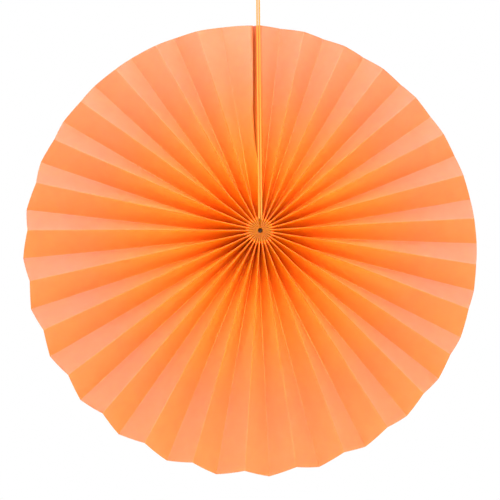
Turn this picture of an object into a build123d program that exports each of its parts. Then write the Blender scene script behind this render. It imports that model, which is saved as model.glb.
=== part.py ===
from build123d import *
from math import cos, degrees, hypot, radians, sin, sqrt, tan
import os

# A paper fan rosette: one long strip of coloured paper, folded to and fro into pleats, drawn
# together at its inner edge by a thread and opened into a full disc, with its two ends glued.
# The disc stands upright in the XZ plane, its front towards -Y, the seam at the top (+Z).
# The origin is on the axis of the hub, halfway between the front and the back.
# Angles run clockwise from the top, as seen from the front. All sizes are millimetres.

# The folded strip
overall_diameter = 300.0    # across the tips of the back folds
ridge_diameter = 285.0      # across the tips of the front folds, which a slanted cut leaves shorter
pleat_count = 29            # back folds round the disc, the one beside the seam among them
pleat_slope = 38.6          # angle of a pleat's panels to the disc's plane, at the rim
paper = 0.15                # thickness of the paper
hub_slack = 0.15            # how far the inner ends stop short of being packed solid

# The glued seam at the top
slit_angle = 2.3            # opening between the free edge and the first front fold
near_slope = 23.0           # slope of the panel before the last back fold, at the rim
end_slope = 10.0            # slope of the end panel, which lies almost flat at the rim
slit_depth = 4.0            # how far the tab lies behind the free edge, at the rim
tab_tuck = 1.0              # how far under the free edge the tab is folded, at the rim
tab_glue_start = 6.5        # from the free edge to where the tab meets the end panel, at the rim
tab_glue_end = 12.0         # from the free edge to the tab's own edge, at the rim
tab_start = 10.0            # distance from the hub's axis to the tab's inner corner

# The thread that draws the pleats together, and the one that the rosette hangs by
thread_diameter = 1.2       # across the corners of its section
thread_sides = 8            # sides of the section that stands for a round thread
hole_inset = 5.5            # from the strip's inner edge to the punched holes
hole_play = 0.15            # room round the gathering thread in the punched holes
strand_spacing = 1.5        # between the two strands of the hanging thread
exit_play = 0.45            # room round the two strands where they come out beside the hub
strand_gap = 0.3            # between the strands' lower ends and the gathering thread

# The knot that ties the two strands together
knot_height = 6.0
knot_wall = 0.85            # thickness of the knot round the strands
knot_play = 0.3             # room round the strands in the knot
knot_bevel = 1.2
knot_level = 173.0          # height of the knot's middle above the hub

# Middle line between the two strands, as x, y, z: out of the front beside the hub, up along
# the seam, past the rim and through the knot, where it ends in an upright run.
strand_route = [
    (-0.10, -7.40, 7.10),
    (-0.12, -10.90, 7.60),
    (-0.14, -12.00, 10.60),
    (-0.17, -11.90, 16.00),
    (-0.25, -11.50, 26.00),
    (-0.40, -11.20, 45.00),
    (-0.65, -10.60, 78.00),
    (-0.95, -9.40, 112.00),
    (-1.15, -8.10, 141.00),
    (-1.25, -7.70, 165.00),
    (-1.25, -7.70, 182.00),
]
# The loop above the knot, from the left strand over the top to the right strand.
loop_route = [
    (-5.85, -7.70, 190.00),
    (-6.45, -7.60, 198.00),
    (-4.25, -7.50, 204.50),
    (1.75, -7.50, 204.30),
    (4.15, -7.60, 197.80),
    (3.25, -7.70, 189.80),
]

bend_share = 0.45           # share of the shorter straight run that a bend's arc takes up

# A panel twists on its way from the packed hub to the open rim, so it is drawn as flat triangles
# between rows across the pleat: so many steps to the tab's start, and so many on to the rim.
hub_steps = 3
rim_steps = 9
overshoot = 1.0             # length beyond the rim, which the rim's cut takes off

# Angles between neighbouring folds. They share the full circle by how flat each panel lies.
near_share = cos(radians(near_slope)) / cos(radians(pleat_slope))
end_share = cos(radians(end_slope)) / cos(radians(pleat_slope))
plain_pleats = pleat_count - 1
fold_angle = (360 - slit_angle) / (2 * plain_pleats + near_share + end_share)
near_angle = fold_angle * near_share
end_angle = fold_angle * end_share
seam_angle = near_angle + end_angle + slit_angle
tuck_angle = slit_angle + degrees(tab_tuck / (overall_diameter / 2))
glue_start = slit_angle + degrees(tab_glue_start / (overall_diameter / 2))
glue_stop = slit_angle + degrees(tab_glue_end / (overall_diameter / 2))

outer_radius = overall_diameter / 2
ridge_radius = ridge_diameter / 2


def chord(radius, angle):
    """Straight distance between two points on a circle."""
    return 2 * radius * sin(radians(angle / 2))


panel_width = chord(outer_radius, fold_angle) / cos(radians(pleat_slope))
packed_radius = paper / chord(1, fold_angle)
hub_radius = packed_radius + hub_slack
gather_radius = hub_radius + hole_inset


def rise(radius, angle):
    """Front-to-back depth of a panel whose two folds are this angle apart."""
    return sqrt(panel_width**2 - chord(radius, angle) ** 2)


def wall(run, depth):
    """Thickness of the paper, measured front to back on a panel with this run and depth."""
    return paper * hypot(run, depth) / run


def fold_wall(radius, angle):
    """The same thickness on a full panel, where the folds are packed close near the hub."""
    return wall(chord(radius, angle), rise(radius, angle))


def front(radius):
    """Y of the front folds."""
    return -rise(radius, fold_angle) / 2


def stations():
    """Distances from the axis at which the pleat's section is drawn, closer near the hub."""
    growth = (tab_start / hub_radius) ** (1 / hub_steps)
    near_hub = [hub_radius * growth**step for step in range(hub_steps)]
    stretch = outer_radius + overshoot - tab_start
    to_rim = [tab_start + stretch * step / rim_steps for step in range(rim_steps + 1)]
    return near_hub + to_rim


def facets(rows):
    """Flat triangles over a grid of points, with mirrored diagonals on either side of a fold."""
    faces = []
    for lower, upper in zip(rows, rows[1:]):
        for column in range(len(lower) - 1):
            near, far = (column, column + 1) if column % 2 else (column + 1, column)
            for corners in ((lower[near], lower[far], upper[far]), (lower[near], upper[far], upper[near])):
                faces.append(Face(Wire.make_polygon(corners)))
    return faces


def folded_sheet(rows):
    """Paper through rows of points (x, front y, back y), each row given with its height."""
    fronts = [[(x, front_y, height) for x, front_y, _ in row] for height, row in rows]
    backs = [[(x, back_y, height) for x, _, back_y in row] for height, row in rows]
    sides = [[(front[end], back[end]) for front, back in zip(fronts, backs)] for end in (0, -1)]
    ends = [[fronts[end], backs[end]] for end in (0, -1)]
    return Solid(Shell([face for grid in (fronts, backs, *sides, *ends) for face in facets(grid)]))


def rim_cut():
    """The truncated cone that the slanted cut leaves round the rim."""
    front_tip = front(ridge_radius)
    back_tip = -front(outer_radius)
    flare = (outer_radius - ridge_radius) / (back_tip - front_tip)
    reach = panel_width
    front_end = ridge_radius + flare * (-reach - front_tip)
    back_end = ridge_radius + flare * (reach - front_tip)
    return Cone(front_end, back_end, 2 * reach, rotation=(-90, 0, 0))


def plain_pleat():
    """Two panels that meet at a back fold and end halfway through the front folds."""
    rows = []
    for radius in stations():
        side = radius * tan(radians(fold_angle))
        crest = front(radius)
        root = -crest
        thick = fold_wall(radius, fold_angle)
        row = [(-side, crest, crest + thick), (0, root - thick, root), (side, crest, crest + thick)]
        rows.append((radius, row))
    return folded_sheet(rows) & rim_cut()


def seam_levels(radius):
    """Y of the last back fold and of the free edge behind it, with the end panel's thickness."""
    root = front(radius) + rise(radius, near_angle)
    edge = root - rise(radius, end_angle)
    return root, edge, fold_wall(radius, end_angle)


def end_level(radius, angle):
    """Y of the end panel's front face, this angle left of the first front fold."""
    root, edge, thick = seam_levels(radius)
    return edge + (root - thick - edge) * (angle - slit_angle) / end_angle


def seam_place(height, angle):
    """X of a radial line, this angle left of the first front fold, in the seam's own frame."""
    return height * tan(radians(seam_angle / 2 - angle))


def seam_height(radius):
    """Height in the seam's frame that meets the plain pleats' sections at their ends."""
    return radius * cos(radians(seam_angle / 2)) / cos(radians(fold_angle))


def end_pleat():
    """The last pleat left of the seam: its back fold and the end panel with its free edge."""
    root_angle = slit_angle + end_angle
    rows = []
    for radius in stations():
        height = seam_height(radius)
        root, edge, thick = seam_levels(radius)
        crest = front(radius)
        row = [
            (seam_place(height, seam_angle), crest, crest + fold_wall(radius, fold_angle)),
            (seam_place(height, root_angle), root - thick, root),
        ]
        for angle in (glue_stop, glue_start, slit_angle):
            level = end_level(radius, angle)
            row.append((seam_place(height, angle), level, level + thick))
        rows.append((height, row))
    return folded_sheet(rows) & rim_cut()


def glue_tab():
    """The tab beyond the first front fold: it goes back behind the free edge and is glued there."""
    rows = []
    for radius in stations()[hub_steps:]:
        height = seam_height(radius)
        root, edge, thick = seam_levels(radius)
        crest = front(radius)
        opened = (radius - tab_start) / (outer_radius - tab_start)
        fold = end_level(radius, tuck_angle) + thick + slit_depth * opened
        skin = wall(chord(radius, tuck_angle), fold - crest)
        backing = wall(chord(radius, end_angle), root - edge)
        row = []
        for angle in (glue_stop, glue_start):
            level = end_level(radius, angle) + thick
            row.append((seam_place(height, angle), level - thick / 2, level + backing))
        row.append((seam_place(height, tuck_angle), fold, fold + skin))
        row.append((seam_place(height, 0), crest, crest + fold_wall(radius, fold_angle)))
        rows.append((height, row))
    return folded_sheet(rows) & rim_cut()


def thread_section():
    """The section of both threads."""
    return RegularPolygon(thread_diameter / 2, thread_sides)


def gathering_thread():
    """The thread through the punched holes, a ring round the hub halfway between front and back."""
    return revolve(Plane.XZ * Pos(gather_radius, 0) * thread_section(), Axis.Z).rotate(Axis.X, 90)


def punch():
    """What the needle takes out of one pleat on its way through both panels."""
    hole = RegularPolygon(thread_diameter / 2 + hole_play, thread_sides, major_radius=False)
    return Pos(0, 0, gather_radius) * extrude(Plane.YZ * hole, panel_width, both=True)


def pleated_disc():
    """The whole folded strip, closed into a disc and glued at the seam."""
    pleat = plain_pleat() - punch()
    last = end_pleat() - punch()
    pleats = [pleat.rotate(Axis.Y, fold_angle * (2 * turn + 1)) for turn in range(plain_pleats)]
    seam = [piece.rotate(Axis.Y, -seam_angle / 2) for piece in (last, glue_tab())]
    disc = pleats[0].fuse(*pleats[1:], *seam)
    exit_diameter = strand_spacing + thread_diameter + 2 * exit_play
    exit_hole = Cylinder(exit_diameter / 2, panel_width, rotation=(90, 0, 0))
    return disc - Pos(strand_route[0][0], -panel_width / 2, gather_radius) * exit_hole


def hanging_path():
    """Route of the hanging thread: up the left strand, round the loop and down the right one."""
    start = (strand_route[0][0], -thread_diameter / 2 - strand_gap, gather_radius)
    middle = [start] + strand_route
    half = strand_spacing / 2
    left = [(x - half, y, z) for x, y, z in middle]
    right = [(x + half, y, z) for x, y, z in reversed(middle)]
    return [Vector(*point) for point in left + loop_route + right]


def bend_radii(points):
    """Radius of the arc at each inner point: as large as its two straight runs allow."""
    radii = []
    for before, here, after in zip(points, points[1:], points[2:]):
        turn = (here - before).get_angle(after - here)
        shorter = min((here - before).length, (after - here).length)
        radii.append(bend_share * shorter / tan(radians(turn / 2)))
    return radii


def thread_tube(points):
    """A thread along straight runs joined by arcs."""
    path = FilletPolyline(*points, radius=bend_radii(points))
    return sweep((path ^ 0) * thread_section(), path=path), path.length


def knot():
    """The knot as a bevelled collar that both strands pass through."""
    opening = thread_diameter + 2 * knot_play
    slot = SlotOverall(strand_spacing + opening, opening)
    body = Cylinder(strand_spacing / 2 + opening / 2 + knot_wall, knot_height)
    body = chamfer(body.edges().filter_by(GeomType.CIRCLE), knot_bevel)
    body -= extrude(slot, knot_height, both=True)
    x, y, _ = strand_route[-1]
    return Pos(x, y, knot_level) * body


route = hanging_path()
hanging, hanging_length = thread_tube(route)
nodes = {
    "pleated_disc": pleated_disc(),
    "gathering_thread": gathering_thread(),
    "hanging_thread": hanging,
    "thread_knot": knot(),
}

os.makedirs("parts", exist_ok=True)
for name, solid in nodes.items():
    export_step(solid, f"parts/{name}.step")

print("width of one panel", round(panel_width, 3), "angle between folds", round(fold_angle, 3))
print("bend radii", [round(radius, 1) for radius in bend_radii(route)])
print("thread length", round(hanging_length, 1), "volume ratio",
      round(hanging.volume / (thread_section().area * hanging_length), 4))
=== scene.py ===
from math import asin, atan2, cos, pi, radians, sin, sqrt

import bpy
import numpy as np
from bpy.props import FloatProperty, FloatVectorProperty, IntProperty, PointerProperty
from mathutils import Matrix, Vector, noise


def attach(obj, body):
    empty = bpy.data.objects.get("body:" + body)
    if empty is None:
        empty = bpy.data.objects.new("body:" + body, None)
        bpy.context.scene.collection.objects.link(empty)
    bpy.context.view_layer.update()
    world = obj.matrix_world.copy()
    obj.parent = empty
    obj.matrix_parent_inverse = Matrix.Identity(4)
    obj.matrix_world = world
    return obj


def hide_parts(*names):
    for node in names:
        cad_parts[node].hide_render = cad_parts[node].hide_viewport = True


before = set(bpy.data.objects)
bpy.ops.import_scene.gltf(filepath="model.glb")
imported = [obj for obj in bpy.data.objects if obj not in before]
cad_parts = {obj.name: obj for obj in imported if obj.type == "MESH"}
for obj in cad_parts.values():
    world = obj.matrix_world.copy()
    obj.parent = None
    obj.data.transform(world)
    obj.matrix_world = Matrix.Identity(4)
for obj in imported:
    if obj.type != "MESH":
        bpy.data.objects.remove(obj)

bl_info = {
    "name": "Paper Fan Rosette",
    "version": (1, 0, 0),
    "blender": (4, 5, 0),
    "location": "View3D > Sidebar > Rosette",
    "description": "Builds a pleated paper rosette with its hanging thread round its solid model",
    "category": "Object",
}

# The disc stands upright in the XZ plane, its front towards -Y and its seam at the top.
# Lengths are metres. Angles round the disc run clockwise from the top, seen from the front.
BODY = "root"
MM = 0.001

# Where the sheet of paper has points.
ARC_STEPS = 4                                   # flats in the round of one fold
ACROSS = (0.025, 0.2, 0.4, 0.6, 0.8, 0.975)     # in a panel, from fold to fold
CURL_STEPS = (1.0, 0.7, 0.4, 0.15)              # in the curl, as shares of its width
TAB_LINES = 3                                   # lines of the tab, before the first front fold
NEAR_ROWS = 11                                  # rows from the hub to the tab's inner corner
FAR_ROWS = 27                                   # rows from there to the rim
EVEN_SPACING = 0.35                             # share of those rows' spacing that stays even
CREASE_ANGLE = radians(50)                      # edges sharper than this are shaded as creases

# How the folds pack at the hub and open from it.
UNPACKED = 1.8              # packed radii from the axis to where the folds have room
FOLD_OPENS = 1.35           # packed radii from the axis to where a fold is fully round
FIRST_FOLD_OPENS = (2, 6)   # packed radii between which the first fold softens
BEAD_GAP = 0.55             # paper's thicknesses that packed folds leave for their neighbours
SLIT_OPENS = (0.2, 0.42)    # shares of the disc's radius between which the slit widens
EDGE_LEAN = 0.6             # lean of the free edge, as a share of the tab's
CURL_LEAN = 0.8             # how much more the curl's inner side leans, as such a share
GLUE_LINE = 1.7             # paper's thicknesses from the end panel to the tab's flap
SETTLING_ROUNDS = 4         # rounds that bring a point to the slanted rim
STEEPEST = 0.95             # sine of a panel's steepest slant between two rounded folds
FOLD_SEED = 29              # seed of the folds' unevenness

# How the panels bulge between their folds.
SLOW_WAVES, SLOW_SHARE = 14, 1.5        # waves a metre along a panel, and their height
QUICK_WAVES, QUICK_SHARE = 45, 0.5
BULGE_STARTS = (0.05, 0.3)              # shares of the way to the rim between which it grows

# Painted shade in the seam's slit and along its free edge, from 0 to 1, at each line that it
# reaches.
SLIT_SHADE = {"glue": 1.0, "tuck": 1.0, "first": 0.5, "edge": 0.7}
RIM_FADE = 0.2                  # RIM_FADE = 0.2 # share of the painted slit shade that is gone at the rim
RIM_FADE_STARTS = (0.75, 1.0)   # shares of the way to the rim

# The threads' plies.
PLY_RADIUS = 0.27       # as a share of the thread's diameter
PLY_SIDES = 7
PLY_STEP = 0.0003       # along a thread
KNOT_STEP = 0.00025     # along the tighter turns of the knot
RING_POINTS = 72        # round the gathering thread
ROUTE_STEPS = 24        # points for each point of a route

# The knot's turns, as shares of a turn or in millimetres.
KNOT_POINTS = 16        # a turn
KNOT_REACH = 0.92       # from the strands' middle to the turns, at the knot's ends
KNOT_FULLNESS = 0.75    # how much further at its middle
KNOT_WIDTH = 0.25       # how much further to the sides than to the front

# The lamps: name, place, width and the stage's value for the power.
LAMPS = (
    ("key", (-0.07, -0.48, 0.34), 0.45, "key_power"),
    ("front", (0.0, -1.20, 0.15), 0.8, "front_power"),
    ("back", (-0.35, 1.10, 0.45), 1.2, "back_power"),
)
FLOOR_HALF = 6.0            # from the middle of the floor to its edge
FLOOR_FADE = (0.25, 0.75)   # distances between which the floor turns to plain white
FLOOR_GLOW = 0.35           # share of plain white right under the rosette

# Middle line between the two strands of the hanging thread, in millimetres, from the exit beside
# the hub up along the seam and through the knot, and then the loop over the knot.
STRAND_ROUTE = [
    (-0.10, -7.40, 7.10),
    (-0.12, -10.90, 7.60),
    (-0.14, -12.00, 10.60),
    (-0.17, -11.90, 16.00),
    (-0.25, -11.50, 26.00),
    (-0.40, -11.20, 45.00),
    (-0.65, -10.60, 78.00),
    (-0.95, -9.40, 112.00),
    (-1.15, -8.10, 141.00),
    (-1.25, -7.70, 165.00),
    (-1.25, -7.70, 182.00),
]
LOOP_ROUTE = [
    (-5.85, -7.70, 190.00),
    (-6.45, -7.60, 198.00),
    (-4.25, -7.50, 204.50),
    (1.75, -7.50, 204.30),
    (4.15, -7.60, 197.80),
    (3.25, -7.70, 189.80),
]


def linear(colour):
    """Linear red, green, blue and alpha of an sRGB hex colour, by the sRGB standard's curve."""
    parts = [int(colour[at:at + 2], 16) / 255 for at in (1, 3, 5)]
    return [p / 12.92 if p <= 0.04045 else ((p + 0.055) / 1.055) ** 2.4 for p in parts] + [1.0]


def add_node(tree, kind, feeds=None, **settings):
    """A new node with its settings. feeds gives an input's name or number its value or source."""
    node = tree.nodes.new(kind)
    for name, value in settings.items():
        setattr(node, name, value)
    for name, source in (feeds or {}).items():
        if isinstance(source, bpy.types.NodeSocket):
            tree.links.new(source, node.inputs[name])
        else:
            node.inputs[name].default_value = source
    return node


class RosettePaper(bpy.types.PropertyGroup):
    """The folded strip of paper and its colours"""
    overall_diameter: FloatProperty(
        name="Overall diameter", description="Across the tips of the back folds",
        default=0.300, unit="LENGTH")
    ridge_diameter: FloatProperty(
        name="Ridge diameter", description="Across the tips of the front folds",
        default=0.285, unit="LENGTH")
    pleat_count: IntProperty(
        name="Pleats", description="Back folds round the disc", default=29, min=8)
    pleat_slope: FloatProperty(
        name="Pleat slope", description="Angle of the panels to the disc's plane, at the rim",
        default=radians(38.6), subtype="ANGLE")
    thickness: FloatProperty(
        name="Paper thickness", description="Thickness of the paper",
        default=0.00015, precision=5, unit="LENGTH")
    hub_slack: FloatProperty(
        name="Hub slack", description="How far the inner ends stop short of being packed solid",
        default=0.00015, precision=5, unit="LENGTH")
    fold_radius: FloatProperty(
        name="Fold radius", description="Radius of the paper's middle at an open fold",
        default=0.0003, precision=5, unit="LENGTH")
    packed_radius: FloatProperty(
        name="Packed radius", description="Distance from the axis out to which the folds touch",
        default=0.0070, unit="LENGTH")
    bulge: FloatProperty(
        name="Panel bulge", description="How far a panel bends out of its plane",
        default=0.00035, precision=5, unit="LENGTH")
    unevenness: FloatProperty(
        name="Unevenness", description="How far a fold strays from its even place at the rim",
        default=radians(0.28), subtype="ANGLE")
    # Near the hub this colour carries painted shade of the deep valleys.
    colour: FloatVectorProperty(
        name="Paper colour", description="Colour of the dyed paper deep in the valleys",
        default=linear("#FF8A02"), size=4, min=0, max=1, subtype="COLOR")
    middle_colour: FloatVectorProperty(
        name="Middle colour", description="Colour of the paper a third of the way to the rim",
        default=linear("#FF962C"), size=4, min=0, max=1, subtype="COLOR")
    # A painted sheen that pales the paper towards the open rim.
    rim_sheen_colour: FloatVectorProperty(
        name="Rim sheen colour", description="Colour of the paper where light has faded it",
        default=linear("#FF8446"), size=4, min=0, max=1, subtype="COLOR")
    # A painted sheen on sides near the rim that face up to the light.
    painted_sheen_colour: FloatVectorProperty(
        name="Painted sheen colour", description="Colour of sides near the rim that face up to the light",
        default=linear("#FF8566"), size=4, min=0, max=1, subtype="COLOR")
    # Painted shade that tones down the crests' highlights near the hub.
    crest_shade_colour: FloatVectorProperty(
        name="Crest shade colour", description="Colour of the pressed fibres along a crest near the hub",
        default=linear("#FF6A08"), size=4, min=0, max=1, subtype="COLOR")
    # Painted shade of the packed folds at the hub.
    hub_shade_colour: FloatVectorProperty(
        name="Hub shade colour", description="Colour of the packed folds at the hub",
        default=linear("#B86400"), size=4, min=0, max=1, subtype="COLOR")
    # Painted shade in the slit and along the free edge of the seam.
    slit_shade_colour: FloatVectorProperty(
        name="Slit shade colour", description="Colour of the paper that glue has soaked",
        default=linear("#B45A00"), size=4, min=0, max=1, subtype="COLOR")


class RosetteSeam(bpy.types.PropertyGroup):
    """The slit at the top, the free edge to its left and the tab glued behind it"""
    slit_angle: FloatProperty(
        name="Slit angle", description="Opening beside the first fold if the edge were straight",
        default=radians(2.3), subtype="ANGLE")
    slit_width: FloatProperty(
        name="Slit width", description="Widest opening between the free edge and the first fold",
        default=0.0044, precision=4, unit="LENGTH")
    widest_angle: FloatProperty(
        name="Widest slit angle", description="Opening halfway out, where the slit is widest",
        default=radians(3.1), subtype="ANGLE")
    hub_slit_angle: FloatProperty(
        name="Slit angle at the hub", description="Opening where the slit closes near the hub",
        default=radians(0.9), subtype="ANGLE")
    hub_lean: FloatProperty(
        name="Lean at the hub", description="How far the free edge leans away from the first fold",
        default=radians(7.0), subtype="ANGLE")
    hub_step: FloatProperty(
        name="Step at the hub", description="How far the leaning edge folds over at the hub",
        default=0.0006, precision=4, unit="LENGTH")
    edge_curl: FloatProperty(
        name="Edge curl", description="How far the free edge curls back at the rim",
        default=0.0022, precision=4, unit="LENGTH")
    curl_width: FloatProperty(
        name="Curl width", description="From the free edge to where the end panel begins to curl",
        default=0.0032, precision=4, unit="LENGTH")
    first_fold_radius: FloatProperty(
        name="First fold radius", description="Radius of the soft fold right of the slit",
        default=0.0018, precision=4, unit="LENGTH")
    near_slope: FloatProperty(
        name="Near slope", description="Slope of the panel before the last back fold, at the rim",
        default=radians(23.0), subtype="ANGLE")
    end_slope: FloatProperty(
        name="End slope", description="Slope of the end panel at the rim",
        default=radians(10.0), subtype="ANGLE")
    slit_depth: FloatProperty(
        name="Slit depth", description="How far the tab lies behind the free edge at the rim",
        default=0.007, unit="LENGTH")
    tab_tuck: FloatProperty(
        name="Tab tuck", description="From the free edge to the tab's bend at the rim",
        default=0.001, unit="LENGTH")
    tab_glue_start: FloatProperty(
        name="Glue start", description="From the free edge to where the tab meets the end panel",
        default=0.0065, unit="LENGTH")
    tab_glue_end: FloatProperty(
        name="Tab edge", description="From the free edge to the tab's own edge",
        default=0.012, unit="LENGTH")
    clip_level: FloatProperty(
        name="Clip level", description="How far back the tab's outer corner is left unclipped",
        default=0.0022, precision=4, unit="LENGTH")
    tab_start: FloatProperty(
        name="Tab start", description="From the hub's axis to the tab's inner corner",
        default=0.010, unit="LENGTH")


class RosetteThread(bpy.types.PropertyGroup):
    """The gathering thread, the hanging thread and its knot"""
    diameter: FloatProperty(
        name="Thread diameter", description="Diameter of the twisted thread",
        default=0.0012, precision=4, unit="LENGTH")
    strand_spacing: FloatProperty(
        name="Strand spacing", description="Between the two strands of the hanging thread",
        default=0.0015, precision=4, unit="LENGTH")
    strand_gap: FloatProperty(
        name="Strand gap", description="Between the strands' ends and the gathering thread",
        default=0.0003, precision=4, unit="LENGTH")
    hole_inset: FloatProperty(
        name="Hole inset", description="From the strip's inner edge to the punched holes",
        default=0.0055, precision=4, unit="LENGTH")
    plies: IntProperty(name="Plies", description="Plies twisted into the thread", default=3, min=2)
    lay_length: FloatProperty(
        name="Lay length", description="Length of thread in which a ply turns once",
        default=0.0034, precision=4, unit="LENGTH")
    knot_turns: FloatProperty(
        name="Knot turns", description="Turns of thread wound round the strands in the knot",
        default=3.0)
    knot_height: FloatProperty(
        name="Knot height", description="Height of the knot", default=0.006, unit="LENGTH")
    knot_level: FloatProperty(
        name="Knot level", description="Height of the knot's middle above the hub",
        default=0.173, unit="LENGTH")
    colour: FloatVectorProperty(
        name="Thread colour", description="Colour of the cotton thread",
        default=linear("#DA9034"), size=4, min=0, max=1, subtype="COLOR")


class RosetteStage(bpy.types.PropertyGroup):
    """The floor, the lights and the camera"""
    camera_distance: FloatProperty(
        name="Camera distance", description="From the camera to the middle of the disc",
        default=0.309, unit="LENGTH")
    camera_side: FloatProperty(
        name="Camera side", description="How far round to the right of the disc's axis",
        default=radians(-4.4), subtype="ANGLE")
    camera_rise: FloatProperty(
        name="Camera rise", description="How far above the disc's axis the camera stands",
        default=radians(-9.3), subtype="ANGLE")
    lens: FloatProperty(
        name="Lens", description="Focal length on a sensor 36 mm wide",
        default=34.3, subtype="DISTANCE_CAMERA")
    shift_side: FloatProperty(
        name="Sideways shift", description="Shift of the view, as a share of its width",
        default=-0.018)
    shift_up: FloatProperty(
        name="Upward shift", description="Shift of the view, as a share of its height",
        default=-0.034)
    floor_level: FloatProperty(
        name="Floor level", description="Height of the floor under the hanging rosette",
        default=-0.42, unit="LENGTH")
    key_power: FloatProperty(
        name="Key light", description="Power of the soft lamp above the camera",
        default=1.5, subtype="POWER")
    front_power: FloatProperty(
        name="Front light", description="Power of the larger soft lamp behind the camera",
        default=15.2, subtype="POWER")
    back_power: FloatProperty(
        name="Back light", description="Power of the soft lamp behind the disc",
        default=5.0, subtype="POWER")
    room_light: FloatProperty(
        name="Room light", description="Strength of the even light from all round",
        default=0.8)


def chord(radius, angle):
    """Straight distance between two points on a circle."""
    return 2 * radius * sin(angle / 2)


def smooth(low, high, value):
    """0 below low, 1 above high, and an even curve between them."""
    share = min(max((value - low) / (high - low), 0.0), 1.0)
    return share * share * (3 - 2 * share)


class Strip:
    """Places of the folds in the strip, worked out from the sizes that a user sets."""

    def __init__(self, paper, seam):
        self.paper, self.seam = paper, seam
        self.outer = paper.overall_diameter / 2
        self.ridge = paper.ridge_diameter / 2
        near_share = cos(seam.near_slope) / cos(paper.pleat_slope)
        end_share = cos(seam.end_slope) / cos(paper.pleat_slope)
        plain_folds = 2 * (paper.pleat_count - 1)
        self.fold_angle = (2 * pi - seam.slit_angle) / (plain_folds + near_share + end_share)
        self.near_angle = self.fold_angle * near_share
        self.end_angle = self.fold_angle * end_share
        self.width = chord(self.outer, self.fold_angle) / cos(paper.pleat_slope)
        self.hub = paper.thickness / chord(1, self.fold_angle) + paper.hub_slack
        self.front_tip = self.front(self.ridge)
        self.flare = (self.outer - self.ridge) / (-self.front(self.outer) - self.front_tip)
        self.middle = (self.outer + self.ridge) / 2
        self.lines = self.fold_lines(plain_folds)

    def rise(self, radius, angle):
        """Front-to-back depth of a panel whose two folds are this angle apart."""
        return sqrt(self.width**2 - chord(radius, angle) ** 2)

    def front(self, radius):
        """Y of the front folds."""
        return -self.rise(radius, self.fold_angle) / 2

    def fold_lines(self, plain_folds):
        """Angle and kind of each line across which the strip turns, from the tab's edge on.

        Lines of the tab and the free edge are given as angles beyond the free edge.
        """
        seam = self.seam
        lines = [(distance / self.outer, kind) for distance, kind in (
            (seam.tab_glue_end, "glue"), (seam.tab_glue_start, "glue"), (seam.tab_tuck, "tuck"))]
        random = np.random.default_rng(FOLD_SEED)
        for fold in range(plain_folds + 1):
            stray = random.uniform(-1, 1) * self.paper.unevenness
            name = "back" if fold % 2 else "front"
            if fold in (0, plain_folds):
                name, stray = "first" if fold == 0 else "front", 0
            lines.append((fold * self.fold_angle + stray, name))
        last = plain_folds * self.fold_angle + self.near_angle
        curled = [(share * seam.curl_width / self.outer, "curl") for share in CURL_STEPS]
        return lines + [(last, "last"), *curled, (0.0, "edge")]

    def slit(self, radius):
        """Angle between the free edge and the first front fold, at this distance from the axis."""
        seam = self.seam
        narrow, wide = SLIT_OPENS
        opened = smooth(narrow * self.outer, wide * self.outer, radius)
        inner = seam.hub_slit_angle + (seam.widest_angle - seam.hub_slit_angle) * opened
        return min(inner, seam.slit_width / radius)

    def turn(self, kind, angle, radius):
        """Angle of a line, clockwise from the first front fold, at this distance from the axis."""
        lean = self.seam.hub_lean * self.packing(radius)
        if kind in ("glue", "tuck"):
            return -self.slit(radius) - lean - angle
        if kind in ("curl", "edge"):
            leaning = lean * (EDGE_LEAN + CURL_LEAN * self.curl_share(angle))
            return 2 * pi - self.slit(radius) - leaning - angle
        return angle

    def packing(self, radius):
        """1 where the folds are packed at the hub, falling to 0 where they have room."""
        start = self.paper.packed_radius
        return 1 - smooth(start, UNPACKED * start, radius)

    def curl_share(self, angle):
        """0 at the free edge and 1 where the end panel begins to curl."""
        return angle * self.outer / self.seam.curl_width

    def level(self, kind, angle, radius):
        """Y of the paper's outer side at a line, at this distance from the axis."""
        if kind in ("front", "first"):
            return self.front(radius)
        if kind == "back":
            return -self.front(radius)
        root = self.front(radius) + self.rise(radius, self.near_angle)
        if kind == "last":
            return root
        depth = self.rise(radius, self.end_angle)
        beyond = self.slit(radius) + angle - self.seam.slit_angle
        panel = max(root - depth * (1 - beyond / self.end_angle), self.front(radius))
        opened = max((radius - self.seam.tab_start) / (self.outer - self.seam.tab_start), 0.0)
        if kind in ("curl", "edge"):
            share = self.curl_share(angle)
            return (panel + self.seam.edge_curl * opened * (1 - share) ** 2
                    + self.seam.hub_step * share * self.packing(radius))
        glue_line = GLUE_LINE * self.paper.thickness
        behind = panel + glue_line * self.width / chord(radius, self.end_angle)
        if kind == "glue":
            return behind
        drop = (self.seam.edge_curl + self.seam.slit_depth) * opened
        return min(behind + drop, -self.front(radius))

    def place(self, kind, angle, share):
        """Distance from the axis and y of a line, at this share of the way to the slanted rim."""
        radius = self.hub + (self.middle - self.hub) * share
        for _ in range(SETTLING_ROUNDS):
            level = self.level(kind, angle, radius)
            radius = self.reach(level, share)
        return radius, level

    def reach(self, level, share):
        """Distance from the axis at this y and this share of the way to the slanted rim."""
        rim = self.ridge + self.flare * (level - self.front_tip)
        return self.hub + (rim - self.hub) * share

    def stain(self, kind, angle):
        """Painted shade in the slit and along the free edge at a line, from 0 to 1."""
        if kind == "curl":
            return SLIT_SHADE["edge"] * (1 - self.curl_share(angle))
        return SLIT_SHADE.get(kind, 0.0)

    def fold_size(self, kind, radius):
        """Radius of the paper's middle at a fold: beads that touch near the hub, open beyond."""
        if kind not in ("front", "first", "back", "last"):
            return 0.0
        packed = chord(radius, self.fold_angle) - BEAD_GAP * self.paper.thickness
        start = self.paper.packed_radius
        opened = self.paper.fold_radius
        if kind == "first":
            near, far = FIRST_FOLD_OPENS
            reached = smooth(near * start, far * start, radius)
            opened += (self.seam.first_fold_radius - opened) * reached
        return packed + (opened - packed) * smooth(start, FOLD_OPENS * start, radius)


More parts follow.
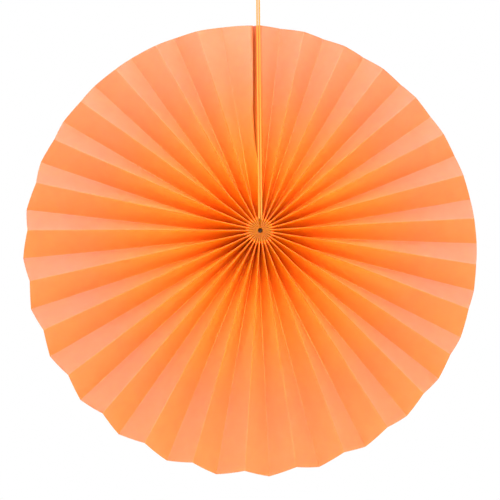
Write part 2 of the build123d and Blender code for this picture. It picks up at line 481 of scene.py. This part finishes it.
def row_points(strip, share):
    """One row of points across the strip.

    Each is x, y, the normal's x and y, how near a front fold it is, how much painted shade of the
    slit and free edge it takes and its place in the row.
    """
    mean = strip.hub + (strip.middle - strip.hub) * share
    half = strip.paper.thickness / 2
    stops = []
    for angle, kind in strip.lines:
        radius, level = strip.place(kind, angle, share)
        size = strip.fold_size(kind, radius)
        side = -1 if kind in ("back", "last") else 1
        x, y = strip.turn(kind, angle, radius) * mean, level + side * (half + size)
        stops.append((x, y, side * size, kind))
    headings = []
    for (x1, y1, s1, _), (x2, y2, s2, _) in zip(stops, stops[1:]):
        gap = sqrt((x2 - x1) ** 2 + (y2 - y1) ** 2)
        slant = min(max((s2 - s1) / gap, -STEEPEST), STEEPEST)
        headings.append(atan2(y2 - y1, x2 - x1) - asin(slant))
    points = []
    for at, (x, y, size, kind) in enumerate(stops):
        arriving = headings[max(at - 1, 0)]
        leaving = headings[min(at, len(headings) - 1)]
        crest = 1.0 if kind in ("front", "first") else 0.0
        stain = strip.stain(kind, strip.lines[at][0])
        steps = ARC_STEPS if size else 0
        for step in range(steps + 1):
            turn = arriving + (leaving - arriving) * (step / steps if steps else 0.5)
            nx, ny = -sin(turn), cos(turn)
            points.append((x - size * nx, y - size * ny, nx, ny, crest, stain, at))
        if at == len(headings):
            break
        nx, ny = -sin(leaving), cos(leaving)
        x2, y2, s2, _ = stops[at + 1]
        start = np.array((x - size * nx, y - size * ny))
        end = np.array((x2 - s2 * nx, y2 - s2 * ny))
        next_slit_shade = strip.stain(stops[at + 1][3], strip.lines[at + 1][0])
        # The painted shade stays strong through the depth of the slit and weakens towards its fold.
        for across in ACROSS:
            px, py = start + (end - start) * across
            slit_shading = stain + (next_slit_shade - stain) * across**2 if stain and next_slit_shade else 0.0
            points.append((px, py, nx, ny, 0.0, slit_shading, at + across))
    return points


def shares(strip):
    """Shares of the way from the hub to the rim at which the strip has rows of points."""
    start, hub = strip.seam.tab_start, strip.hub
    near = [hub * (start / hub) ** (step / NEAR_ROWS) for step in range(NEAR_ROWS)]
    reach = strip.middle - start
    far = [start + reach * (EVEN_SPACING * t + (1 - EVEN_SPACING) * t * t)
           for t in np.linspace(0, 1, FAR_ROWS)]
    return [(radius - hub) / (strip.middle - hub) for radius in near + far]


def bend(strip, station, along, share):
    """How far a point of a panel stands out of its plane: only the glued panels lie flat.

    The numbers that shift the noise give each panel waves of its own.
    """
    across = station % 1.0
    panel = int(station)
    if strip.lines[panel][1] not in ("first", "back", "front"):
        return 0.0
    slow = noise.noise(Vector((panel * 3.7, along * SLOW_WAVES, 0.5)))
    quick = noise.noise(Vector((panel * 5.3 + across * 0.8, along * QUICK_WAVES, 7.5)))
    waves = SLOW_SHARE * slow + QUICK_SHARE * quick
    return strip.paper.bulge * sin(pi * across) * waves * smooth(*BULGE_STARTS, share)


def paper_sheet(strip):
    """The strip's middle as a mesh. Its points say how near a crest they are and how much painted
    slit shade they take.
    """
    rows, crest, stain = [], [], []
    stations = shares(strip)
    for share in stations:
        mean = strip.hub + (strip.middle - strip.hub) * share
        row = []
        for x, y, nx, ny, near_crest, slit_shading, station in row_points(strip, share):
            out = bend(strip, station, mean, share)
            x, y = x + nx * out, y + ny * out
            # The tab's outer corner is clipped, so that it stays hidden behind the end panel.
            reached = min(y, strip.seam.clip_level) if station < TAB_LINES else y
            angle, radius = x / mean, strip.reach(reached, share)
            row.append((radius * sin(angle), y, radius * cos(angle)))
            crest.append(near_crest)
            stain.append(slit_shading * (1 - RIM_FADE * smooth(*RIM_FADE_STARTS, share)))
        rows.append(row)
    # Inside the tab's inner corner the strip begins at the middle of its first front fold.
    count = len(rows[0])
    first_fold = TAB_LINES * (len(ACROSS) + 1) + ARC_STEPS // 2
    faces = []
    for at in range(len(rows) - 1):
        for column in range(first_fold if at < NEAR_ROWS else 0, count - 1):
            here = at * count + column
            faces.append((here, here + 1, here + count + 1, here + count))
    used = sorted({corner for face in faces for corner in face})
    number = {corner: at for at, corner in enumerate(used)}
    points = [point for row in rows for point in row]
    mesh = bpy.data.meshes.new("pleated_paper")
    mesh.from_pydata([points[corner] for corner in used], [],
                     [[number[corner] for corner in face] for face in faces])
    for name, values in (("crest", crest), ("stain", stain)):
        attribute = mesh.attributes.new(name, "FLOAT", "POINT")
        attribute.data.foreach_set("value", np.array(values, np.float32)[used])
    return mesh


def new_object(name, data, material=None):
    """An object in the scene, with its material."""
    made = bpy.data.objects.new(name, data)
    bpy.context.scene.collection.objects.link(made)
    if material:
        data.materials.append(material)
    return made


def settle(made):
    """Applies an object's modifiers and shades it smooth up to its creases."""
    bpy.context.view_layer.update()
    finished = made.evaluated_get(bpy.context.evaluated_depsgraph_get())
    result = bpy.data.meshes.new_from_object(finished)
    made.modifiers.clear()
    made.data = result
    result.shade_smooth()
    result.set_sharp_from_angle(angle=CREASE_ANGLE)


def paper_material(paper):
    """Dyed wove paper, calendered and matt, with a faint cloudiness and a soft tooth.

    Light soaks through a thin sheet, so the valleys between the pleats glow a deep orange. Painted
    shade deepens the colour towards the hub, along the crests near the hub and in the seam's slit,
    and a painted sheen pales the sides near the rim.
    """
    material = bpy.data.materials.new("dyed wove paper, calendered")
    material.use_nodes = True
    tree = material.node_tree
    surface = tree.nodes["Principled BSDF"]
    place = add_node(tree, "ShaderNodeTexCoord").outputs["Object"]
    # Painted shade deepens the colour towards the hub, darkest on the packed folds there, and a
    # painted sheen pales it towards the open rim. The stops stand at shares of the way from the
    # axis to the rim.
    flat = add_node(tree, "ShaderNodeVectorMath", {0: place, 1: (1, 0, 1)}, operation="MULTIPLY")
    out = add_node(tree, "ShaderNodeVectorMath", {0: flat.outputs[0]}, operation="LENGTH")
    reach = out.outputs["Value"]
    share = add_node(tree, "ShaderNodeMath", {0: reach, 1: paper.overall_diameter / 2},
                     operation="DIVIDE")
    tone = add_node(tree, "ShaderNodeValToRGB", {"Fac": share.outputs[0]})
    stops = ((0.046, paper.hub_shade_colour), (0.056, paper.colour), (0.15, paper.colour),
             (0.33, paper.middle_colour), (0.72, paper.rim_sheen_colour))
    for at, (position, shade) in enumerate(stops):
        stop = tone.color_ramp.elements[at] if at < 2 else tone.color_ramp.elements.new(position)
        stop.position, stop.color = position, list(shade)
    # A painted sheen, as from a light level with the top of the disc and a little to its left: the
    # upper half pales evenly, and lower down the sides that face it pale more than those that
    # don't. The ranges give shares of the painted sheen colour at each height, for all sides and by
    # their slant.
    normal = add_node(tree, "ShaderNodeNewGeometry").outputs["Normal"]
    facing = add_node(tree, "ShaderNodeSeparateXYZ", {0: normal})
    towards = add_node(tree, "ShaderNodeVectorMath", {0: normal, 1: (-0.15, 0, 0.99)},
                       operation="DOT_PRODUCT")
    height = add_node(tree, "ShaderNodeSeparateXYZ", {0: place}).outputs["Z"]
    upper = add_node(tree, "ShaderNodeMapRange", {
        "Value": height, "From Min": -150 * MM, "From Max": 150 * MM,
        "To Min": 0.25, "To Max": 0.75})
    slanted = add_node(tree, "ShaderNodeMapRange", {
        "Value": height, "From Min": 140 * MM, "From Max": -20 * MM,
        "To Min": 0.2, "To Max": 0.75})
    lit = add_node(tree, "ShaderNodeMath", {
        0: towards.outputs["Value"], 1: slanted.outputs[0], 2: upper.outputs[0]},
        operation="MULTIPLY_ADD", use_clamp=True)
    open_rim = add_node(tree, "ShaderNodeMapRange", {
        "Value": reach, "From Min": 40 * MM, "From Max": 120 * MM})
    sheen_share = add_node(tree, "ShaderNodeMath", {
        0: lit.outputs[0], 1: open_rim.outputs[0]}, operation="MULTIPLY")
    with_sheen = add_node(tree, "ShaderNodeMix", {
        "Factor": sheen_share.outputs[0], 6: tone.outputs["Color"], 7: list(paper.painted_sheen_colour)},
        data_type="RGBA")
    # Pulp settles in clouds about 7 mm across.
    clouds = add_node(tree, "ShaderNodeTexNoise", {
        "Vector": place, "Scale": 1 / (7 * MM), "Detail": 3})
    depth = add_node(tree, "ShaderNodeMapRange", {
        "Value": clouds.outputs["Fac"], "From Min": 0.3, "From Max": 0.7,
        "To Min": 0.94, "To Max": 1.0})
    cloudy = add_node(tree, "ShaderNodeHueSaturation", {
        "Value": depth.outputs["Result"], "Color": with_sheen.outputs[2]})
    # Painted shade tones down the crests' highlights from where the folds leave the imported hub,
    # and less the wider they open.
    crest = add_node(tree, "ShaderNodeAttribute", attribute_name="crest")
    past_hub = add_node(tree, "ShaderNodeMapRange", {
        "Value": reach, "From Min": 7 * MM, "From Max": 8 * MM})
    open_fold = add_node(tree, "ShaderNodeMapRange", {
        "Value": reach, "From Min": 40 * MM, "From Max": 120 * MM, "To Min": 1.0, "To Max": 0.0})
    narrow = add_node(tree, "ShaderNodeMath", {
        0: past_hub.outputs[0], 1: open_fold.outputs[0]}, operation="MULTIPLY")
    crest_shade = add_node(tree, "ShaderNodeMath", {
        0: crest.outputs["Fac"], 1: narrow.outputs[0]}, operation="MULTIPLY")
    with_crest_shade = add_node(tree, "ShaderNodeMix", {
        "Factor": crest_shade.outputs[0], 6: cloudy.outputs["Color"], 7: list(paper.crest_shade_colour)},
        data_type="RGBA")
    # Painted shade darkens the slit and the free edge, on the sides that face forward and not at
    # the back.
    stain = add_node(tree, "ShaderNodeAttribute", attribute_name="stain")
    forward = add_node(tree, "ShaderNodeMapRange", {
        "Value": facing.outputs["Y"], "From Min": 0.1, "From Max": -0.1})
    slit_shading = add_node(tree, "ShaderNodeMath", {
        0: stain.outputs["Fac"], 1: forward.outputs["Result"]}, operation="MULTIPLY")
    colour = add_node(tree, "ShaderNodeMix", {
        "Factor": slit_shading.outputs[0], 6: with_crest_shade.outputs[2], 7: list(paper.slit_shade_colour)},
        data_type="RGBA")
    tree.links.new(colour.outputs[2], surface.inputs["Base Color"])
    # Paper tooth is about 0.3 mm; it is drawn at 0.9 mm so that it shows.
    tooth = add_node(tree, "ShaderNodeTexNoise", {
        "Vector": place, "Scale": 1 / (0.9 * MM), "Detail": 4})
    relief = add_node(tree, "ShaderNodeBump", {
        "Height": tooth.outputs["Fac"], "Distance": 0.02 * MM, "Strength": 0.6})
    tree.links.new(relief.outputs["Normal"], surface.inputs["Normal"])
    surface.inputs["Roughness"].default_value = 0.55
    surface.inputs["Specular IOR Level"].default_value = 0.3
    surface.inputs["Subsurface Weight"].default_value = 1.0
    surface.inputs["Subsurface Radius"].default_value = (0.4, 0.3, 0.15)
    surface.inputs["Subsurface Scale"].default_value = MM
    return material


def thread_material(thread):
    """Mercerised cotton thread, plied: a soft lustre and fine fibres along each ply."""
    material = bpy.data.materials.new("mercerised cotton, plied")
    material.use_nodes = True
    tree = material.node_tree
    surface = tree.nodes["Principled BSDF"]
    place = add_node(tree, "ShaderNodeTexCoord").outputs["Object"]
    # Cotton fibres are 0.02 mm; they are drawn at 0.15 mm so that they show, and the cotton
    # between them is about a fifth darker.
    fibres = add_node(tree, "ShaderNodeTexNoise", {
        "Vector": place, "Scale": 1 / (0.15 * MM), "Detail": 3})
    shade = add_node(tree, "ShaderNodeHueSaturation", {"Value": 0.82, "Color": list(thread.colour)})
    tone = add_node(tree, "ShaderNodeMix", {
        "Factor": fibres.outputs["Fac"], 6: shade.outputs["Color"], 7: list(thread.colour)},
        data_type="RGBA")
    tree.links.new(tone.outputs[2], surface.inputs["Base Color"])
    relief = add_node(tree, "ShaderNodeBump", {
        "Height": fibres.outputs["Fac"], "Distance": 0.03 * MM})
    tree.links.new(relief.outputs["Normal"], surface.inputs["Normal"])
    surface.inputs["Roughness"].default_value = 0.6
    surface.inputs["Specular IOR Level"].default_value = 0.3
    return material


def spline_points(points):
    """Points along the smooth curve that has the given points as its control points."""
    data = bpy.data.curves.new("route", "CURVE")
    data.dimensions = "3D"
    spline = data.splines.new("NURBS")
    spline.points.add(len(points) - 1)
    for point, place in zip(spline.points, points):
        point.co = (*place, 1)
    spline.order_u = 3
    spline.use_endpoint_u = True
    spline.resolution_u = ROUTE_STEPS
    holder = bpy.data.objects.new("route", data)
    bpy.context.scene.collection.objects.link(holder)
    mesh = bpy.data.meshes.new_from_object(holder)
    found = [vertex.co.copy() for vertex in mesh.vertices]
    bpy.data.objects.remove(holder)
    bpy.data.curves.remove(data)
    bpy.data.meshes.remove(mesh)
    return found


def even_points(points, step):
    """Points at even distances along a line of points, and its length."""
    line = np.array([tuple(p) for p in points])
    run = np.concatenate([[0], np.cumsum(np.linalg.norm(np.diff(line, axis=0), axis=1))])
    count = max(int(round(run[-1] / step)), 4)
    at = np.linspace(0, run[-1], count + 1)
    return np.stack([np.interp(at, run, line[:, axis]) for axis in range(3)], axis=1), run[-1]


def carried_frames(line):
    """Two directions across the line at each point, carried along it without twisting."""
    along = np.gradient(line, axis=0)
    along /= np.linalg.norm(along, axis=1)[:, None]
    first = np.cross(along[0], (0.31, 0.77, 0.55))      # a direction that no thread starts in
    sides = [first / np.linalg.norm(first)]
    for direction in along[1:]:
        side = sides[-1] - direction * np.dot(sides[-1], direction)
        sides.append(side / np.linalg.norm(side))
    sides = np.array(sides)
    return sides, np.cross(along, sides)


def plied_mesh(name, points, thread, step=PLY_STEP):
    """A thread of twisted plies along a line of points, closed at its ends."""
    line, length = even_points(points, step)
    across, over = carried_frames(line)
    ply = thread.diameter * PLY_RADIUS
    last = (len(line) - 1) * PLY_SIDES
    vertices, faces = [], []
    for which in range(thread.plies):
        run = 2 * pi * np.arange(len(line)) * step / thread.lay_length
        turn = 2 * pi * which / thread.plies + run
        outwards = np.cos(turn)[:, None] * across + np.sin(turn)[:, None] * over
        offset = (thread.diameter / 2 - ply) * outwards
        base = len(vertices)
        for at in range(len(line)):
            for side in range(PLY_SIDES):
                angle = 2 * pi * side / PLY_SIDES
                around = cos(angle) * across[at] + sin(angle) * over[at]
                vertices.append(line[at] + offset[at] + ply * around)
        for at in range(len(line) - 1):
            ring = base + at * PLY_SIDES
            for side in range(PLY_SIDES):
                here, after = ring + side, ring + (side + 1) % PLY_SIDES
                faces.append((here, after, after + PLY_SIDES, here + PLY_SIDES))
        faces.append(tuple(base + side for side in reversed(range(PLY_SIDES))))
        faces.append(tuple(base + last + side for side in range(PLY_SIDES)))
    mesh = bpy.data.meshes.new(name)
    mesh.from_pydata([tuple(v) for v in vertices], [], faces)
    mesh.shade_smooth()
    return mesh, line, length


def metres(points, shift=0.0):
    """Millimetre points in metres, moved along x."""
    return [(x * MM + shift, y * MM, z * MM) for x, y, z in points]


def knot_mesh(thread):
    """Turns of thread wound round the two strands, fuller in the middle."""
    x, y, _ = STRAND_ROUTE[-1]
    height = thread.knot_height - 1.2 * thread.diameter     # of the turns' middle line
    points = []
    steps = int(thread.knot_turns * KNOT_POINTS)
    for step in range(steps + 1):
        share = step / steps
        angle = 2 * pi * thread.knot_turns * share
        reach = KNOT_REACH + KNOT_FULLNESS * sin(pi * share)
        points.append(((x + (reach + KNOT_WIDTH) * cos(angle)) * MM,
                       (y + reach * sin(angle)) * MM,
                       thread.knot_level + height * (share - 0.5)))
    mesh, _, _ = plied_mesh("knot_plies", spline_points(points), thread, KNOT_STEP)
    return mesh


class ROSETTE_OT_paper(bpy.types.Operator):
    """Build the pleated paper disc in place of its plain solid"""
    bl_idname = "rosette.paper"
    bl_label = "Pleated disc"

    def execute(self, context):
        paper, seam = context.scene.rosette_paper, context.scene.rosette_seam
        disc = new_object("paper_pleats", paper_sheet(Strip(paper, seam)), paper_material(paper))
        solid = disc.modifiers.new("thickness", "SOLIDIFY")
        solid.thickness, solid.offset = paper.thickness, 0
        settle(disc)
        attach(disc, BODY)
        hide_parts("pleated_disc")
        return {"FINISHED"}


class ROSETTE_OT_threads(bpy.types.Operator):
    """Build the gathering thread, the hanging thread and its knot"""
    bl_idname = "rosette.threads"
    bl_label = "Threads"

    def execute(self, context):
        paper, seam, thread = (context.scene.rosette_paper, context.scene.rosette_seam,
                               context.scene.rosette_thread)
        material = thread_material(thread)
        gather = Strip(paper, seam).hub + thread.hole_inset
        angles = [2 * pi * at / RING_POINTS for at in range(RING_POINTS + 1)]
        ring = [(gather * sin(angle), 0, gather * cos(angle)) for angle in angles]
        mesh, _, _ = plied_mesh("gathering_plies", ring, thread)
        gathering = new_object("gathering_cotton", mesh, material)
        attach(gathering, BODY)
        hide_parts("gathering_thread")

        start = (STRAND_ROUTE[0][0] * MM, -thread.diameter / 2 - thread.strand_gap, gather)
        half = thread.strand_spacing / 2
        up = [(start[0] - half, *start[1:])] + metres(STRAND_ROUTE, -half)
        down = metres(reversed(STRAND_ROUTE), half) + [(start[0] + half, *start[1:])]
        route = spline_points(up + metres(LOOP_ROUTE) + down)
        mesh, line, length = plied_mesh("hanging_plies", route, thread)
        hanging = new_object("hanging_cotton", mesh, material)
        knot = new_object("cotton_knot", knot_mesh(thread), material)
        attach(hanging, BODY)
        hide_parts("hanging_thread")
        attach(knot, BODY)
        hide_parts("thread_knot")
        return {"FINISHED"}


class ROSETTE_OT_stage(bpy.types.Operator):
    """Set the floor, the lights and the camera"""
    bl_idname = "rosette.stage"
    bl_label = "Stage"

    def execute(self, context):
        stage = context.scene.rosette_stage
        context.scene.view_settings.view_transform = "Standard"
        self.backdrop(stage)
        self.lamps(stage)
        self.camera(stage)
        return {"FINISHED"}

    def backdrop(self, stage):
        """A pale floor and even room light; to the camera both are plain white."""
        mesh = bpy.data.meshes.new("floor")
        corners = [(-FLOOR_HALF, -FLOOR_HALF), (FLOOR_HALF, -FLOOR_HALF),
                   (FLOOR_HALF, FLOOR_HALF), (-FLOOR_HALF, FLOOR_HALF)]
        mesh.from_pydata([(x, y, stage.floor_level) for x, y in corners], [], [(0, 1, 2, 3)])
        # Rolled laminate is smooth and even: it shows no texture and hardly any reflection.
        material = bpy.data.materials.new("matt white laminate, rolled")
        material.use_nodes = True
        tree = material.node_tree
        surface = tree.nodes["Principled BSDF"]
        surface.inputs["Base Color"].default_value = linear("#F2F2F0")
        surface.inputs["Roughness"].default_value = 0.8
        # The floor keeps the object's shadow, and turns to plain white away from it.
        place = add_node(tree, "ShaderNodeTexCoord").outputs["Object"]
        flat = add_node(tree, "ShaderNodeVectorMath", {0: place, 1: (1, 1, 0)},
                        operation="MULTIPLY")
        away = add_node(tree, "ShaderNodeVectorMath", {0: flat.outputs[0]}, operation="LENGTH")
        fade = add_node(tree, "ShaderNodeMapRange", {
            "Value": away.outputs["Value"], "From Min": FLOOR_FADE[0], "From Max": FLOOR_FADE[1],
            "To Min": FLOOR_GLOW}, interpolation_type="SMOOTHSTEP")
        share = add_node(tree, "ShaderNodeMath", {
            0: self.seen(tree), 1: fade.outputs["Result"]}, operation="MULTIPLY")
        glow = add_node(tree, "ShaderNodeEmission", {"Strength": 1.0})
        mix = add_node(tree, "ShaderNodeMixShader", {
            0: share.outputs[0], 1: surface.outputs[0], 2: glow.outputs[0]})
        tree.links.new(mix.outputs[0], tree.nodes["Material Output"].inputs["Surface"])
        new_object("floor", mesh, material)

        world = bpy.data.worlds.new("room")
        bpy.context.scene.world = world
        world.use_nodes = True
        tree = world.node_tree
        strength = add_node(tree, "ShaderNodeMix", {
            "Factor": self.seen(tree), 2: stage.room_light, 3: 1.0}, data_type="FLOAT")
        tree.links.new(strength.outputs[0], tree.nodes["Background"].inputs["Strength"])
        tree.nodes["Background"].inputs["Color"].default_value = linear("#FFFFFF")

    def seen(self, tree):
        """1 for a ray from the camera, a reflection or through glass, else 0."""
        path = add_node(tree, "ShaderNodeLightPath")
        direct = add_node(tree, "ShaderNodeMath", {
            0: path.outputs["Is Camera Ray"], 1: path.outputs["Is Glossy Ray"]},
            operation="MAXIMUM")
        either = add_node(tree, "ShaderNodeMath", {
            0: direct.outputs[0], 1: path.outputs["Is Transmission Ray"]}, operation="MAXIMUM")
        return either.outputs[0]

    def lamps(self, stage):
        """Soft round lamps above the camera, behind it and behind the disc, aimed at the hub."""
        for name, place, size, power in LAMPS:
            data = bpy.data.lights.new(name, "AREA")
            data.shape, data.size, data.energy = "DISK", size, getattr(stage, power)
            lamp = new_object(name, data)
            lamp.location = place
            lamp.rotation_euler = (-Vector(place)).to_track_quat("-Z", "Y").to_euler()

    def camera(self, stage):
        """A close camera, a little below the disc's axis and to its left, aimed at the hub."""
        data = bpy.data.cameras.new("camera")
        data.lens, data.sensor_width, data.sensor_fit = stage.lens, 36.0, "AUTO"
        data.clip_start, data.clip_end = 0.01, 20       # metres
        data.shift_x, data.shift_y = stage.shift_side, stage.shift_up
        view = new_object("camera", data)
        side, rise = stage.camera_side, stage.camera_rise
        back = Vector((sin(side), -cos(side) * cos(rise), cos(side) * sin(rise)))
        view.location = back * stage.camera_distance
        view.rotation_euler = (-back).to_track_quat("-Z", "Y").to_euler()
        bpy.context.scene.camera = view


class ROSETTE_PT_panel(bpy.types.Panel):
    """Lists the operators, each with the values that it uses"""
    bl_idname = "ROSETTE_PT_panel"
    bl_label = "Paper Fan Rosette"
    bl_space_type = "VIEW_3D"
    bl_region_type = "UI"
    bl_category = "Rosette"

    def draw(self, context):
        groups = ((ROSETTE_OT_paper, ("rosette_paper", "rosette_seam")),
                  (ROSETTE_OT_threads, ("rosette_thread",)),
                  (ROSETTE_OT_stage, ("rosette_stage",)))
        for operator, names in groups:
            box = self.layout.box()
            box.operator(operator.bl_idname)
            for name in names:
                values = getattr(context.scene, name)
                for key in values.bl_rna.properties.keys():
                    if key not in ("rna_type", "name"):
                        box.prop(values, key)


GROUPS = {"rosette_paper": RosettePaper, "rosette_seam": RosetteSeam,
          "rosette_thread": RosetteThread, "rosette_stage": RosetteStage}
OPERATORS = (ROSETTE_OT_paper, ROSETTE_OT_threads, ROSETTE_OT_stage)


def register():
    for kind in (*GROUPS.values(), *OPERATORS, ROSETTE_PT_panel):
        bpy.utils.register_class(kind)
    for name, kind in GROUPS.items():
        setattr(bpy.types.Scene, name, PointerProperty(type=kind))


def unregister():
    for name in GROUPS:
        delattr(bpy.types.Scene, name)
    for kind in reversed((*GROUPS.values(), *OPERATORS, ROSETTE_PT_panel)):
        bpy.utils.unregister_class(kind)


def main():
    """Builds the whole scene."""
    register()
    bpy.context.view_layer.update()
    bpy.ops.rosette.stage()
    bpy.ops.rosette.threads()
    bpy.ops.rosette.paper()
    bpy.context.view_layer.update()


if __name__ == "__main__":
    main()
